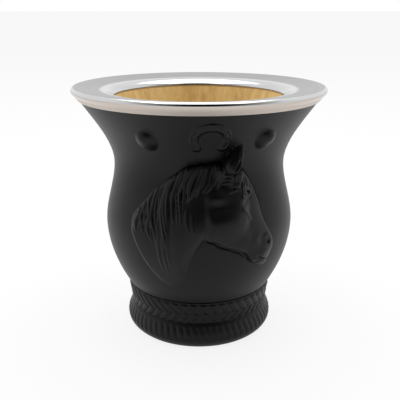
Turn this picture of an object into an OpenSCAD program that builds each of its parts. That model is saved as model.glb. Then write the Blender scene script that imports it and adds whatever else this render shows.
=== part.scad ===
// Mate cup with a horse's head in relief: a moulded black shell around a turned wood liner,
// closed at the top by a spun metal collar and at the bottom by a pressed-in disc.
// Millimetres, +Z up, the origin at the middle of the foot, the cup's front towards -Y.

/* [Rim] */
// Height from the foot to the top of the rim
cup_height = 92.5; // [91:0.5:98]
// Diameter across the rim's rolled edge
rim_d = 91.6; // [90:0.2:95]
// Thickness of the collar's sheet metal
metal_t = 0.6; // [0.4:0.1:0.8]
// Diameter of the rolled edge
bead_d = 1.6; // [1.5:0.1:2.4]
// Fall of the lip towards the mouth, in degrees
lip_angle = 7.5; // [4:0.5:10]
// Radius of the bend from the lip into the mouth
mouth_bend = 4; // [3:0.25:4.5]
// How far the bend stops short of straight down, in degrees
mouth_turn = 25; // [15:1:35]
// Inner diameter of the collar's lower edge
mouth_d = 62; // [60:0.5:64]
// Height of the collar's outer skirt, from the top of the rim
skirt_h = 4.2; // [3.8:0.1:5.5]
// How far the skirt stands proud of the shell
skirt_proud = 0.3; // [0.1:0.05:0.4]

/* [Shell] */
// Angle of the flare below the rim, from upright, in degrees
flare_angle = 35; // [32:0.5:37]
// Diameter of the neck
neck_d = 62.8; // [62:0.2:65]
// Height of the neck
neck_z = 65; // [62:0.5:67]
// Diameter of the belly
belly_d = 70; // [68:0.1:74]
// Height of the belly's widest line
belly_z = 43; // [40:0.5:46]
// Diameter at the groove above the braid
groove_d = 54; // [52.5:0.5:56]
// Height of that groove
groove_z = 18.4; // [18:0.1:19.5]
// Depth of that groove
groove_depth = 0.5; // [0.3:0.1:0.8]
// Wall of the shell at the neck, the flare and the groove
shell_wall = 2.4; // [1.8:0.1:2.8]
// Thickness of the web under the liner
web_t = 2.6; // [2:0.1:4]

/* [Foot] */
// Diameter of the rope ring
ring_d = 56; // [55:0.5:60]
// Height of the rope ring's widest line
ring_z = 4.7; // [4.5:0.1:6]
// Ribs around the rope ring
rope_ribs = 66; // [48:1:80]
// Lean of the ribs, in degrees
rope_lean = 14; // [0:1:20]
// Depth of the grooves between the ribs
rope_depth = 0.45; // [0.3:0.05:0.6]
// Diameter of the waist above the rope ring
waist_d = 52.4; // [52:0.2:54]
// Height of that waist
waist_z = 11; // [10:0.5:12]
// Strands in each row of the braid
braid_strands = 48; // [36:1:56]
// Lean of the strands, in degrees
braid_lean = 40; // [25:1:45]
// Depth of the grooves between the strands
braid_depth = 0.55; // [0.3:0.05:0.7]
// Height of the braid's lower edge
braid_z = 9.6; // [9:0.1:10]
// Outer diameter of the ring that the cup stands on
stand_d = 50.4; // [50:0.2:52]
// Diameter of the base disc
disc_d = 46.8; // [44:0.2:47.4]
// Thickness of the base disc
disc_t = 2.2; // [1.6:0.1:3]
// How far the base disc sits above the table
disc_recess = 1.2; // [0.8:0.1:2]
// Width of the step that the base disc stops against
disc_step = 1; // [0.6:0.1:1.4]

/* [Liner] */
// Wall of the wood liner
wood_wall = 4.2; // [3.5:0.1:4.8]
// Thickness of the liner's floor
wood_floor = 5.3; // [4:0.1:8]
// Radius in the corner of the liner's floor
wood_corner = 6; // [3:0.5:8]
// Width of the sealing ring
seal_w = 1.6; // [1.2:0.1:2]
// Height of the sealing ring
seal_h = 0.5; // [0.4:0.1:1.6]

/* [Relief] */
// Height of the horse's head, from the ear to the end of the neck
horse_h = 49; // [44:0.5:52]
// Height of the middle of the horse's cheek on the cup
horse_z = 53; // [51:0.5:54]
// Thickness of the neck and mane
neck_relief = 1.2; // [0.8:0.1:1.6]
// Thickness of the locks of the mane
lock_relief = 2; // [1.7:0.1:2.1]
// Thickness of the head
head_relief = 2.4; // [2.2:0.1:2.8]
// Thickness of the cheek
cheek_relief = 3.1; // [2.9:0.1:3.4]
// Width of the horseshoe
shoe_w = 14.8; // [12:0.2:16]
// Height of the horseshoe, seen from the front
shoe_h = 11; // [9:0.2:11.4]
// Width of the horseshoe's bar
shoe_bar = 2.8; // [2.2:0.1:3.4]
// Thickness of the horseshoe
shoe_relief = 0.8; // [0.5:0.1:1.2]
// Height of the horseshoe's heels on the cup
shoe_z = 75; // [74:0.2:75.4]
// Diameter of the round bosses
boss_d = 8; // [6:0.2:9]
// How far the bosses stand out
boss_relief = 0.8; // [0.5:0.1:1.2]
// Depth of the dish in each boss
boss_dish = 0.4; // [0.2:0.05:0.5]
// Angle of the bosses from the front, in degrees
boss_angle = 32; // [28:1:45]
// Height of the bosses on the cup
boss_z = 78.1; // [76:0.1:79]

/* [Fits] */
// Gap between the metal collar and what it is crimped over
metal_fit = 0.05; // [0.03:0.01:0.1]
// Glue gap between the liner and the shell
wood_fit = 0.2; // [0.1:0.05:0.3]
// Gap around the base disc
disc_fit = 0.1; // [0.05:0.05:0.2]
// Gap around the sealing ring
seal_fit = 0.1; // [0.05:0.05:0.2]

/* [Hidden] */
// Sides of the round shapes, and straight pieces in each curve
round_fn = 96;
steps = 8;
// How far a shape runs into the one that it is joined to or cut from
sink = 1;

// A curve of given slopes through two stations, each [height, radius, slope]
function ease(z, a, b) =
    let (span = b[0] - a[0], t = (z - a[0]) / span)
    a[1] * (2 * t ^ 3 - 3 * t ^ 2 + 1) + span * a[2] * (t ^ 3 - 2 * t ^ 2 + t)
    + b[1] * (3 * t ^ 2 - 2 * t ^ 3) + span * b[2] * (t ^ 3 - t ^ 2);
function eased(a, b, from = 0) =
    [for (i = [from : steps]) let (z = a[0] + (b[0] - a[0]) * i / steps) [ease(z, a, b), z]];
function arc(centre, r, from, to) =
    [for (i = [0 : steps]) let (a = from + (to - from) * i / steps) centre + r * [cos(a), sin(a)]];
function reverse(list) = [for (i = [len(list) - 1 : -1 : 0]) list[i]];

// The collar's middle line: mouth bend, lip, rolled edge and skirt
bead_r = (bead_d - metal_t) / 2;
bead_c = [rim_d / 2 - bead_d / 2, cup_height - bead_d / 2];
bend_r = mouth_bend - metal_t / 2;
bend_cr = mouth_d / 2 + metal_t / 2 + bend_r * cos(mouth_turn);
bend_cz = bead_c[1] - (bend_r - bead_r + sin(lip_angle) * (bead_c[0] - bend_cr)) / cos(lip_angle);
skirt_z = cup_height - skirt_h;
bead_low = bead_c + bead_r * [cos(flare_angle), -sin(flare_angle)];
skirt_low = bead_low - (bead_low[1] - skirt_z) * [tan(flare_angle), 1];
collar_line = concat(
    arc([bend_cr, bend_cz], bend_r, 180 - mouth_turn, 90 + lip_angle),
    arc(bead_c, bead_r, 90 + lip_angle, -flare_angle),
    [skirt_low]);
collar_edge_z = collar_line[0][1];

// The square direction at a point of a line, and the line moved sideways along it
function normal_at(line, i) =
    let (a = line[max(i - 1, 0)], b = line[min(i + 1, len(line) - 1)], along = (b - a) / norm(b - a))
    [-along[1], along[0]];
function face(line, off) = [for (i = [0 : len(line) - 1]) line[i] + off * normal_at(line, i)];

// Underside of the lip and inside of the skirt, each as a radius or a height
function lip_under(r, gap) =
    let (top = [bend_cr, bend_cz] + bend_r * [-sin(lip_angle), cos(lip_angle)])
    top[1] + (r - top[0]) * tan(lip_angle) - (metal_t / 2 + gap) / cos(lip_angle);
function skirt_at(z, off) = skirt_low[0] + (z - skirt_z) * tan(flare_angle) + off / cos(flare_angle);

// Outside of the shell as stations, from the groove up to the skirt's lower edge
flare_r = skirt_at(skirt_z, metal_t / 2 - skirt_proud);
groove_slope = 0.62;
at_groove = [groove_z, groove_d / 2, groove_slope];
at_belly = [belly_z, belly_d / 2, 0];
at_neck = [neck_z, neck_d / 2, 0];
at_flare = [skirt_z, flare_r, tan(flare_angle)];
function outer_r(z) =
    z < belly_z ? ease(z, at_groove, at_belly)
    : z < neck_z ? ease(z, at_belly, at_neck)
    : z < skirt_z ? ease(z, at_neck, at_flare)
    : flare_r + (z - skirt_z) * tan(flare_angle);
wall_line = concat(eased(at_groove, at_belly), eased(at_belly, at_neck, 1), eased(at_neck, at_flare, 1));

// Foot: stand, rope ring, waist and braided band up to the groove
stand_slope = 1.5;
at_stand = [0, stand_d / 2, stand_slope];
at_ring = [ring_z, ring_d / 2, 0];
at_waist = [waist_z, waist_d / 2, 0];
foot_line = concat(
    eased(at_stand, at_ring),
    eased(at_ring, at_waist, 1),
    [[groove_d / 2 + groove_depth / 2, groove_z - groove_depth],
    [groove_d / 2 - groove_depth, groove_z - groove_depth / 2]]);

// Top of the shell, cut back under the collar's skirt and lip
rebate = -metal_t / 2 - metal_fit;
shell_top_r = bead_c[0] - bead_d;
shell_top = [
    [skirt_at(skirt_z - metal_fit, rebate), skirt_z - metal_fit],
    [skirt_at(bead_c[1] - bead_d, rebate), bead_c[1] - bead_d],
    [shell_top_r, lip_under(shell_top_r, metal_fit)]];

// Inside of the shell: a tapered bore that opens out with the flare
bore_floor_z = groove_z + web_t - groove_depth;
bore_low_r = groove_d / 2 - shell_wall;
bore_neck_r = neck_d / 2 - shell_wall;
bore_flare_r = flare_r - shell_wall / cos(flare_angle);
at_bore_neck = [neck_z, bore_neck_r, 0];
at_bore_flare = [skirt_z, bore_flare_r, tan(flare_angle)];
function bore_line(gap) = concat(
    [[bore_low_r - gap, bore_floor_z + gap]],
    [for (p = eased(at_bore_neck, at_bore_flare)) p - [gap, 0]]);
function bore_flare_at(z) = bore_flare_r + (z - skirt_z) * tan(flare_angle);
recess_r = disc_d / 2 + disc_fit;
core_r = recess_r - disc_step;
core_top_z = bore_floor_z - web_t;

// Inside of the wood liner
liner_mouth_r = mouth_d / 2;
liner_floor_z = bore_floor_z + wood_fit + wood_floor;
cavity_low_r = bore_low_r - wood_fit - wood_wall;
cavity_neck_r = bore_neck_r - wood_fit - wood_wall;
at_cavity_neck = [neck_z, cavity_neck_r, (cavity_neck_r - cavity_low_r) / (neck_z - liner_floor_z)];
seal_z = collar_edge_z - seal_h - seal_fit;
at_cavity_mouth = [seal_z, liner_mouth_r, tan(flare_angle) / 2];
seal_r = liner_mouth_r + seal_w;
rebate_r = seal_r + seal_fit;
bend_out_r = bend_cr + metal_t;
liner_top_z = lip_under(bore_flare_r, metal_fit);
liner_top_r = bore_flare_at(liner_top_z) - wood_fit;

// The horse is drawn from the middle of its cheek, +X towards the nose, and then scaled
horse_drawn_h = 51;
horse_scale = horse_h / horse_drawn_h;
neck_outline = [
    [-8, -24.5], [-7, -18], [-5.5, -13], [-2.5, -7], [8, 0], [10.5, 15.5], [4, 18], [-1.5, 18], [-8, 17],
    [-12, 14], [-17, 9.5], [-20.5, 6], [-24, 2], [-26.2, -1], [-27, -5], [-26.5, -8.5], [-25, -11.5],
    [-22.5, -18], [-20, -21.5], [-17.5, -24], [-15, -25.5]];
head_outline = [
    [4, 15], [10.5, 15.5], [14, 12], [16.5, 6.5], [19, -1], [21.5, -5], [23, -8.5], [24.5, -13], [23.5, -16],
    [22, -18], [19.5, -19.5], [15, -17], [12.5, -13], [6.5, -10.5], [2.5, -8.5], [-2.5, -7], [-4.5, 0],
    [-2, 8]];
ear_outline = [[4, 17.5], [6, 21.5], [7.5, 23.8], [10, 25.5], [11.2, 22.5], [11.2, 19], [10.5, 15], [7, 13]];
// How far the ear stands out past the head
ear_proud = 0.3;
ear_relief = head_relief + ear_proud;
cheek_at = [4.2, 0];
cheek_r = 6;
eye_at = [11, 5];
eye_d = 3.4;
nostril_at = [21.5, -11];
nostril_d = 1.6;
mouth_line = [[23.5, -17.5], [18, -16.3], [23, -18.2]];
// Locks of the mane, each from the crest through a bend to its tip, and its width
locks = [
    [[4, 17], [-1, 11], [-4.5, 3], 3.2],
    [[0, 17.5], [-6, 11], [-8, 0], 3.2],
    [[-5, 17], [-11, 9], [-10.5, -9], 3.4],
    [[-9.5, 15.5], [-16, -2], [-12.5, -23], 3.6],
    [[-13.5, 12.5], [-18, 0], [-16, -19], 3.4],
    [[-17.5, 9], [-21, -2], [-19.5, -15], 3.2],
    [[-21.5, 5], [-24.5, -3], [-22.5, -14], 3]];
function lock_point(lock, t) = lock[0] * (1 - t) ^ 2 + lock[1] * 2 * t * (1 - t) + lock[2] * t ^ 2;
function lock_line(lock) = [for (i = [0 : steps]) lock_point(lock, i / steps)];
function lock_side(lock, side) =
    let (line = lock_line(lock))
    [for (i = [1 : steps - 1]) line[i] + side * lock[3] / 2 * sin(180 * i / steps) * normal_at(line, i)];
function lock_outline(lock) = concat(
    [lock[0]], lock_side(lock, 1), [lock[2]], reverse(lock_side(lock, -1)));

// Share of the horseshoe's height above its widest line, and the turn of its heels past there
shoe_arch = 0.55;
heel_turn = 48;

// Each row of the braid
braid_row_h = (groove_z - braid_z) / 2;
braid_mid_z = braid_z + braid_row_h;
function braid_r(row) = row > 0 ? (waist_d + groove_d) / 4 : waist_d / 2;

// The shell's outer form with every radius grown by some height, for the reliefs
module grown(height) {
    relief_line = [for (p = wall_line) if (p[1] > groove_z) p + [height, 0]];
    rotate_extrude($fn = round_fn)
        polygon(concat([[0, relief_line[0][1]]], relief_line, [[0, skirt_z]]));
}

// Raises a flat figure on the cup's front to a height above the wall
module raised(height) {
    intersection() {
        grown(height);
        rotate([90, 0, 0]) linear_extrude(rim_d / 2) children();
    }
}

module horse_figure(outline) {
    translate([0, horse_z]) scale(horse_scale) polygon(outline);
}

module horse() {
    raised(neck_relief) horse_figure(neck_outline);
    for (lock = locks) raised(lock_relief) horse_figure(lock_outline(lock));
    raised(head_relief) horse_figure(head_outline);
    raised(ear_relief) horse_figure(ear_outline);
    raised(cheek_relief) translate([0, horse_z]) scale(horse_scale)
        translate(cheek_at) circle(cheek_r, $fn = round_fn);
    eye_z = horse_z + eye_at[1] * horse_scale;
    eye_x = eye_at[0] * horse_scale;
    eye_r = outer_r(eye_z) + head_relief - eye_d / 4;
    translate([eye_x, -sqrt(eye_r ^ 2 - eye_x ^ 2), eye_z]) sphere(d = eye_d, $fn = round_fn);
}

module horse_cuts() {
    nostril_z = horse_z + nostril_at[1] * horse_scale;
    nostril_x = nostril_at[0] * horse_scale;
    nostril_r = outer_r(nostril_z) + head_relief / 2;
    translate([nostril_x, -sqrt(nostril_r ^ 2 - nostril_x ^ 2), nostril_z])
        rotate([90, 0, 0]) cylinder(d = nostril_d, h = rim_d / 2, $fn = round_fn);
    difference() {
        rotate([90, 0, 0]) linear_extrude(rim_d / 2) horse_figure(mouth_line);
        grown(head_relief / 3);
    }
}

module horseshoe() {
    outer = [shoe_w / 2, shoe_h * shoe_arch];
    inner = outer - shoe_bar * [1, cos(flare_angle)];
    turns = [for (i = [0 : 2 * steps]) -heel_turn + (180 + 2 * heel_turn) * i / (2 * steps)];
    centre_z = shoe_z + outer[1] * sin(heel_turn);
    raised(shoe_relief) translate([0, centre_z]) polygon(concat(
        [for (a = turns) [outer[0] * cos(a), outer[1] * sin(a)]],
        [for (a = reverse(turns)) [inner[0] * cos(a), inner[1] * sin(a)]]));
}

module bosses() {
    slope = atan(outer_r(boss_z + 0.5) - outer_r(boss_z - 0.5));
    dish_r = boss_d;
    for (side = [-1, 1])
        rotate([0, 0, side * boss_angle - 90])
            translate([outer_r(boss_z), 0, boss_z])
                rotate([0, 90 + slope, 0])
                    difference() {
                        translate([0, 0, -sink]) cylinder(d = boss_d, h = sink + boss_relief, $fn = round_fn);
                        translate([0, 0, boss_relief - boss_dish + dish_r]) sphere(dish_r, $fn = round_fn);
                    }
}

// Grooves between the ribs of the rope ring
module rope_cuts() {
    for (i = [0 : rope_ribs - 1])
        rotate([0, 0, i * 360 / rope_ribs])
            translate([ring_d / 2 + rope_depth, 0, ring_z])
                rotate([rope_lean, 0, 0])
                    cylinder(r = 2 * rope_depth, h = waist_z, center = true, $fn = 4);
}

// Grooves between the strands of the braid, two rows that lean apart
module braid_cuts() {
    for (i = [0 : braid_strands - 1], row = [-1, 1])
        rotate([0, 0, i * 360 / braid_strands])
            translate([braid_r(row) + braid_depth, 0, braid_mid_z + row * braid_row_h / 2])
                rotate([row * braid_lean, 0, 0])
                    cylinder(r = 2 * braid_depth, h = braid_row_h / cos(braid_lean), center = true, $fn = 4);
}

// Black moulded shell with its reliefs, braid and rope ring
module outer_shell() {
    color([0.15, 0.15, 0.15]) difference() {
        union() {
            rotate_extrude($fn = round_fn)
                polygon(concat([[0, 0]], foot_line, wall_line, shell_top, [[0, shell_top[2][1]]]));
            horse();
            horseshoe();
            bosses();
        }
        horse_cuts();
        rope_cuts();
        braid_cuts();
        rotate_extrude($fn = round_fn)
            polygon(concat([[0, bore_floor_z]], bore_line(0),
                [[bore_flare_at(cup_height), cup_height], [0, cup_height]]));
        translate([0, 0, -sink]) cylinder(r = recess_r, h = sink + disc_recess + disc_t, $fn = round_fn);
        translate([0, 0, -sink]) cylinder(r = core_r, h = sink + core_top_z, $fn = round_fn);
    }
}

// Turned wood cup glued into the shell, with a rebate for the sealing ring
module wood_liner() {
    top = [[liner_top_r, liner_top_z], [bend_out_r, lip_under(bend_out_r, metal_fit)]];
    seat = [[rebate_r, collar_edge_z], [rebate_r, seal_z], [liner_mouth_r, seal_z]];
    inside = concat(
        reverse(eased(at_cavity_neck, at_cavity_mouth)),
        reverse(arc([cavity_low_r - wood_corner, liner_floor_z + wood_corner], wood_corner, -90, 0)));
    color([0.78, 0.6, 0.32])
        rotate_extrude($fn = round_fn)
            polygon(concat([[0, bore_floor_z + wood_fit]], bore_line(wood_fit), top, seat, inside,
                [[0, liner_floor_z]]));
}

// Spun metal collar: mouth bend, lip, rolled edge and crimped skirt in one sheet
module rim_collar() {
    color([0.8, 0.79, 0.76])
        rotate_extrude($fn = round_fn)
            polygon(concat(face(collar_line, metal_t / 2), reverse(face(collar_line, -metal_t / 2))));
}

// Soft ring that seals the collar's lower edge against the liner
module throat_seal() {
    color([0.75, 0.72, 0.66])
        translate([0, 0, seal_z])
            difference() {
                cylinder(r = seal_r, h = seal_h, $fn = round_fn);
                translate([0, 0, -sink]) cylinder(r = liner_mouth_r, h = seal_h + 2 * sink, $fn = round_fn);
            }
}

// Plain disc pressed into the foot against its step
module base_disc() {
    color([0.12, 0.12, 0.12])
        translate([0, 0, disc_recess]) cylinder(d = disc_d, h = disc_t, $fn = round_fn);
}

outer_shell();
wood_liner();
rim_collar();
throat_seal();
base_disc();
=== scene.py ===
import math

import bpy
import numpy as np
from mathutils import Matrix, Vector


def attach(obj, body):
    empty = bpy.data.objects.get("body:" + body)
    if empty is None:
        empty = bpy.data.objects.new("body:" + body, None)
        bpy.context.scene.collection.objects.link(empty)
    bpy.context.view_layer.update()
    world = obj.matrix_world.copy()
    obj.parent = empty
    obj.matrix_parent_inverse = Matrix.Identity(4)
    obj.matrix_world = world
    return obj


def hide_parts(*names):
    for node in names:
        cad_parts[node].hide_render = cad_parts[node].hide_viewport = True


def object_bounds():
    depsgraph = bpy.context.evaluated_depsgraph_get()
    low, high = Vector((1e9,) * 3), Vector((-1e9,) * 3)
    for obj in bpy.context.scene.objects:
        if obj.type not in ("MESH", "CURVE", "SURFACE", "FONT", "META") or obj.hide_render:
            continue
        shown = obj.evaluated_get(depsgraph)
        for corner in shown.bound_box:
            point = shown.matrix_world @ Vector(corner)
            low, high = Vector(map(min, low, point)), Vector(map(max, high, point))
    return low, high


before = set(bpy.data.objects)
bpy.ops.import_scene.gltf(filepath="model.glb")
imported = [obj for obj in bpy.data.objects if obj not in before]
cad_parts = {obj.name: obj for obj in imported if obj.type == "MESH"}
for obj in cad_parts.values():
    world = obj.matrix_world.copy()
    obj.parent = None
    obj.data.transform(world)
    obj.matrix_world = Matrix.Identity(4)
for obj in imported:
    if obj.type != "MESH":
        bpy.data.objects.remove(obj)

cad_low, cad_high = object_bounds()

# Outer shell. One moulding in matt black plastic, with a flared rim, a drawn-in neck, a round belly and a
# foot with a braid and a rope ring. The horse's head, the horseshoe and the bosses stand out of the same wall.
# It is turned from its section, then its front and foot are cut finer and pushed out to their reliefs.
MM = 0.001
RIM_Z = (cad_high.z - cad_low.z) / MM
SKIRT_Z = RIM_Z - 4.2
STAND_R, STAND_SLOPE, STAND_EDGE = 25.2, 1.5, 0.3
RING_R, RING_Z = 28.0, 4.7
WAIST_R, WAIST_Z = 26.2, 11.0
BAND_SWELL = 0.35
GROOVE_R, GROOVE_Z, GROOVE_SLOPE = 27.0, 18.4, 0.62
GROOVE_DEPTH, GROOVE_BLEND = 0.5, 0.15
BELLY_R, BELLY_Z = 35.0, 43.0
NECK_R, NECK_Z = 31.4, 65.0
FLARE_R, FLARE_SLOPE = 43.23, math.tan(math.radians(35))
BED_DEPTH, BED_TALL = 0.43, 2.4
RIM_EDGE_OUT, RIM_EDGE_IN = (43.4, RIM_Z - 0.95), (42.5, RIM_Z - 1.3)
SHELL_WALL, NECK_WALL_SHARE, INNER_ROWS = 2.4, 0.82, 8
FOOT_BORE_R, FOOT_CHAMFER, DISC_STEP, DISC_TOP_Z = 23.5, 0.4, 1.0, 3.4
WEB_LOW_Z, WEB_TOP_Z = 17.9, 20.5
COLUMNS = 132


def ease(z, a, b):
    """Radius at height z on the smooth curve between two stations (height, radius, slope)."""
    span = b[0] - a[0]
    t = (z - a[0]) / span
    return (a[1] * (2 * t**3 - 3 * t**2 + 1) + span * a[2] * (t**3 - 2 * t**2 + t)
            + b[1] * (3 * t**2 - 2 * t**3) + span * b[2] * (t**3 - t**2))


def shell_radius(z):
    """Outer radius of the bare shell, in millimetres, at heights below the collar's skirt."""
    z = np.asarray(z, float)
    stations = ((0, STAND_R, STAND_SLOPE), (RING_Z, RING_R, 0), (WAIST_Z, WAIST_R, 0),
                (GROOVE_Z, GROOVE_R, GROOVE_SLOPE), (BELLY_Z, BELLY_R, 0), (NECK_Z, NECK_R, 0),
                (SKIRT_Z, FLARE_R, FLARE_SLOPE))
    band_tall = GROOVE_Z - GROOVE_DEPTH - WAIST_Z
    radius = np.full(z.shape, STAND_R)
    for a, b in zip(stations, stations[1:]):
        here = (z >= a[0]) & (z <= b[0])
        if a[0] == WAIST_Z:
            curve = WAIST_R + (GROOVE_R + BAND_SWELL - WAIST_R) * (z - WAIST_Z) / band_tall
        else:
            curve = ease(z, a, b)
        radius = np.where(here, curve, radius)
    off_groove = np.abs(z - (GROOVE_Z - GROOVE_DEPTH / 2)) / (GROOVE_DEPTH / 2 + GROOVE_BLEND)
    return radius - GROOVE_DEPTH * np.clip(1 - off_groove, 0, 1)


def turn_on_axis(name, section, columns):
    """Draws a section of (radius, height) points in millimetres, spins it round the cup's axis, closes it."""
    bpy.ops.object.select_all(action="DESELECT")
    bpy.ops.mesh.primitive_plane_add(size=MM)
    piece = bpy.context.object
    piece.name = name
    bpy.ops.object.mode_set(mode="EDIT")
    bpy.ops.mesh.select_mode(type="VERT")
    bpy.ops.mesh.select_all(action="SELECT")
    bpy.ops.mesh.merge(type="CENTER")
    points = [Vector((r * MM, 0, z * MM)) for r, z in section]
    bpy.ops.transform.translate(value=points[0])
    for a, b in zip(points, points[1:]):
        bpy.ops.mesh.extrude_region_move(TRANSFORM_OT_translate={"value": b - a})
    bpy.ops.mesh.select_all(action="SELECT")
    bpy.ops.mesh.spin(steps=columns, angle=math.tau, center=(0, 0, 0), axis=(0, 0, 1))
    bpy.ops.mesh.select_all(action="SELECT")
    bpy.ops.mesh.remove_doubles(threshold=0.01 * MM)
    bpy.ops.mesh.normals_make_consistent(inside=False)
    bpy.ops.object.mode_set(mode="OBJECT")
    return piece


def cut_finer(piece, wanted, cuts):
    """Subdivides the faces whose middles, given in millimetres, are wanted."""
    flat = np.empty(len(piece.data.polygons) * 3)
    piece.data.polygons.foreach_get("center", flat)
    chosen = wanted(flat.reshape(-1, 3) / MM)
    bpy.ops.object.mode_set(mode="EDIT")
    bpy.ops.mesh.select_mode(type="FACE")
    bpy.ops.mesh.select_all(action="DESELECT")
    bpy.ops.object.mode_set(mode="OBJECT")
    piece.data.polygons.foreach_set("select", chosen)
    bpy.ops.object.mode_set(mode="EDIT")
    bpy.ops.mesh.subdivide(number_cuts=cuts)
    bpy.ops.object.mode_set(mode="OBJECT")


def rows(low, high, count):
    """Heights from low to high in equal steps."""
    return [low + (high - low) * i / count for i in range(count + 1)]


# The section goes from the web in the foot, round the foot, up the outside, over the rim and down the inside.
foot_inside = [
    (0, WEB_LOW_Z), (FOOT_BORE_R - DISC_STEP, WEB_LOW_Z), (FOOT_BORE_R - DISC_STEP, DISC_TOP_Z),
    (FOOT_BORE_R, DISC_TOP_Z), (FOOT_BORE_R, FOOT_CHAMFER), (FOOT_BORE_R + FOOT_CHAMFER, 0),
    (STAND_R - STAND_EDGE, 0)]
ring_rows, braid_rows, groove_rows = rows(0.3, 9, 6), rows(10, 17.6, 6), [17.9, 18.15, 18.4, 18.8]
wall_rows = rows(20, SKIRT_Z - 0.02, 47)
wall_outside = [(float(shell_radius(z)), z) for z in ring_rows + braid_rows + groove_rows + wall_rows]
bed_r = FLARE_R - BED_DEPTH
under_collar = [(bed_r, SKIRT_Z), (bed_r + BED_TALL * FLARE_SLOPE, SKIRT_Z + BED_TALL),
                RIM_EDGE_OUT, RIM_EDGE_IN]
wall_inside = []
for i, z in reversed(list(enumerate(rows(NECK_Z, SKIRT_Z, INNER_ROWS)))):
    share = NECK_WALL_SHARE + (1 - NECK_WALL_SHARE) * i / INNER_ROWS
    wall_inside.append((float(shell_radius(z)) - share * SHELL_WALL / math.cos(math.atan(FLARE_SLOPE)), z))
cup_floor = [(GROOVE_R - SHELL_WALL, WEB_TOP_Z), (0, WEB_TOP_Z)]
shell = turn_on_axis("shell", foot_inside + wall_outside + under_collar + wall_inside + cup_floor, COLUMNS)

# The horse is drawn in millimetres from the middle of its cheek, seen from the cup's front.
HORSE_Z = 52.0
NECK_OUTLINE = (
    (-11.5, -25.5), (-8, -22), (-7.1, -17.5), (-5.4, -12.5), (-1.8, -7.4), (2, -3), (3, 4), (3, 8),
    (3.8, 11.4), (5.6, 14.4), (6.6, 18.4), (4, 19.2), (0, 19.1), (-4, 18.7), (-7.4, 17.7), (-10, 15.5),
    (-12.7, 13.3), (-15, 11.3), (-17.2, 9.2), (-20, 5.8), (-22.2, 3), (-23.8, 0.9), (-24.9, -0.9),
    (-25.4, -3.6), (-25.3, -6.2), (-24.4, -9), (-23.1, -12), (-21.8, -15), (-20, -18.2), (-18, -21),
    (-15.6, -23.6))
HEAD_OUTLINE = (
    (-2, 13), (2, 17.4), (6, 18), (9.6, 16.8), (11.5, 15.4), (13.2, 13.2), (14.5, 10.6), (15.8, 7.4),
    (16.9, 4.6), (18, 0.4), (19.1, -2.2), (20.4, -4.8), (21.5, -7.3), (22.3, -10), (22.3, -11.9),
    (21.3, -14), (20.4, -15.8), (19.6, -17.2), (18.4, -18), (17, -17.9), (15.2, -17), (13.7, -15.5),
    (12.5, -13.2), (11.3, -11.7), (9.5, -10.8), (7.1, -9.6), (4.6, -8.7), (3.1, -7.9), (1.9, -7.1),
    (-0.5, -6.6), (-2.8, -5.4), (-4.2, -2), (-4.6, 2), (-4.9, 6), (-4.6, 9))
CREST_LINE = (
    (9.5, 17.6), (8, 18.7), (4, 19.2), (0, 19.1), (-4, 18.7), (-7.4, 17.7), (-10, 15.5), (-12.7, 13.3),
    (-15, 11.3), (-17.2, 9.2), (-20, 5.8), (-22.2, 3), (-23.8, 0.9), (-24.9, -0.9))


def smooth_line(points, spans=8, closed=False):
    """A smooth line through given points."""
    p = np.array(points, float)
    ends = (p[-1:], p[:2]) if closed else (2 * p[:1] - p[1:2], 2 * p[-1:] - p[-2:-1])
    p = np.vstack((ends[0], p, ends[1]))
    t = (np.arange(spans) / spans)[:, None]
    line = [0.5 * (2 * b + (c - a) * t + (2 * a - 5 * b + 4 * c - d) * t**2 + (3 * b - a - 3 * c + d) * t**3)
            for a, b, c, d in zip(p, p[1:], p[2:], p[3:])]
    return np.vstack(line + ([] if closed else [p[-2:-1]]))


def along_line(x, v, line):
    """Distance of each place from a line, and how far along the line, 0 to 1, its nearest point is."""
    best = np.full(x.shape, np.inf)
    where = np.zeros(x.shape)
    for i, (a, b) in enumerate(zip(line, line[1:])):
        d = b - a
        t = np.clip(((x - a[0]) * d[0] + (v - a[1]) * d[1]) / (d @ d), 0, 1)
        gap = np.hypot(x - a[0] - t * d[0], v - a[1] - t * d[1])
        nearer = gap < best
        best = np.where(nearer, gap, best)
        where = np.where(nearer, (i + t) / (len(line) - 1), where)
    return best, where


def depth_inside(x, v, outline):
    """Distance in from a closed outline, negative outside it."""
    line = smooth_line(outline, 5, closed=True)
    line = np.vstack((line, line[:1]))
    inside = np.zeros(x.shape, bool)
    for a, b in zip(line, line[1:]):
        if a[1] != b[1]:
            inside ^= ((a[1] > v) != (b[1] > v)) & (x < a[0] + (v - a[1]) * (b[0] - a[0]) / (b[1] - a[1]))
    gap, _ = along_line(x, v, line)
    return np.where(inside, gap, -gap)


def soft_step(t):
    """0 below 0, 1 above 1, and a smooth rise between them."""
    t = np.clip(t, 0, 1)
    return t * t * (3 - 2 * t)


def fade(value, start, end):
    """A smooth rise from 0 at a start to 1 at an end, which may lie on either side of it."""
    return soft_step((value - start) / (end - start))


def between(a, b, t):
    """Value a turned into value b by a share."""
    return a + (b - a) * t


def round_edge(inside, width):
    """0 outside an outline, rising in a quarter round to 1 at some width inside it."""
    t = np.clip(inside / width, 0, 1)
    return np.sqrt(1 - (1 - t) ** 2)


def smooth_max(a, b, blend):
    """The higher of two heights, with their meeting filled in softly."""
    return np.maximum(a, b) + blend * np.clip(1 - np.abs(a - b) / blend, 0, 1) ** 2 / 4


def level_off(height, limit):
    """Keeps a height as it is while it is low, and levels it off at a limit."""
    return height / (1 + (np.clip(height, 0, None) / limit) ** 4) ** 0.25


def swell(x, v, centre, radius):
    """A soft round rise of height 1."""
    return np.exp(-((x - centre[0]) / radius[0]) ** 2 - ((v - centre[1]) / radius[1]) ** 2)


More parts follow.
